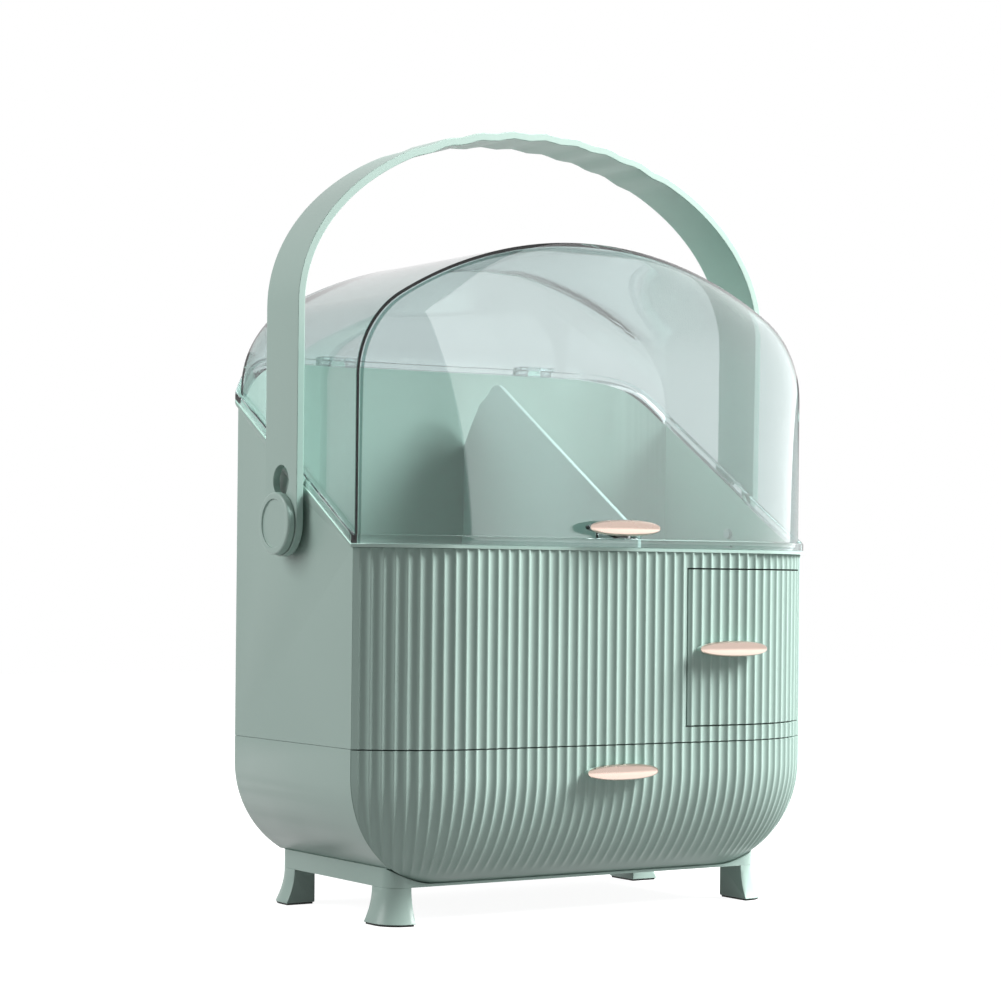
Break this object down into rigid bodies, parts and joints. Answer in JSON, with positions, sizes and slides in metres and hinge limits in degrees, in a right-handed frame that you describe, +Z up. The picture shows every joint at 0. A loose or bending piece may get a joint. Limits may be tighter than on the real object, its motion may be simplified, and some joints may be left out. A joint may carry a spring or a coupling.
{
  "type": "dustproof makeup organizer",
  "caption": "Sage green makeup organizer with a clear domed lid, a carrying handle, ribbed bowed drawer fronts with rose gold pulls and a low base frame on flared feet.",
  "frame": {"origin": "centre of the bounding box on the plane the foot pads stand on", "axes": "+X to the right seen from the front, +Y to the back, +Z up; the drawers open along -Y"},
  "size_m": [0.3136, 0.198, 0.42],
  "materials": {
    "sage": "fine satin moulded ABS, muted sage green",
    "inner_sage": "satin moulded ABS, deeper sage green",
    "clear_lid": "clear green-tinted polycarbonate, polished",
    "rose_gold": "rose gold plating, satin-polished",
    "steel": "zinc-plated steel",
    "pads": "matt dark rubber"
  },
  "bodies": {
    "body": {"upper_housing": "sage", "front_fascia": "sage", "lower_housing": "sage", "base_frame": "sage", "foot_front_left": "sage", "foot_front_right": "sage", "foot_back_left": "sage", "foot_back_right": "sage", "foot_pads": "pads", "base_screws": "steel", "housing_screws": "steel", "top_divider": "inner_sage", "hinge_pin_left": "steel", "hinge_pin_right": "steel", "pivot_knob_left": "sage", "pivot_knob_right": "sage", "pivot_screws": "steel"},
    "lid": {"lid_shell": "clear_lid", "lid_hinge_left": "clear_lid", "lid_hinge_right": "clear_lid", "lid_pull_boss": "clear_lid", "lid_pull_cap": "rose_gold"},
    "handle": {"handle": "sage"},
    "big_drawer": {"big_drawer_tray": "inner_sage", "big_drawer_front": "sage", "big_drawer_pull_base": "sage", "big_drawer_pull_cap": "rose_gold"},
    "small_drawer": {"small_drawer_tray": "inner_sage", "small_drawer_front": "sage", "small_drawer_pull_base": "sage", "small_drawer_pull_cap": "rose_gold"}
  },
  "joints": [
    {"name": "lid_hinge", "type": "hinge", "parent": "body", "child": "lid", "pos_m": [0, 0.0956, 0.296], "axis": [-1, 0, 0], "range_deg": [0, 22]},
    {"name": "handle_pivot", "type": "hinge", "parent": "body", "child": "handle", "pos_m": [0, 0, 0.2044], "axis": [1, 0, 0], "range_deg": [-90, 90]},
    {"name": "big_drawer_slide", "type": "slide", "parent": "body", "child": "big_drawer", "axis": [0, -1, 0], "range_m": [0, 0.1]},
    {"name": "small_drawer_slide", "type": "slide", "parent": "body", "child": "small_drawer", "axis": [0, -1, 0], "range_m": [0, 0.1]}
  ]
}
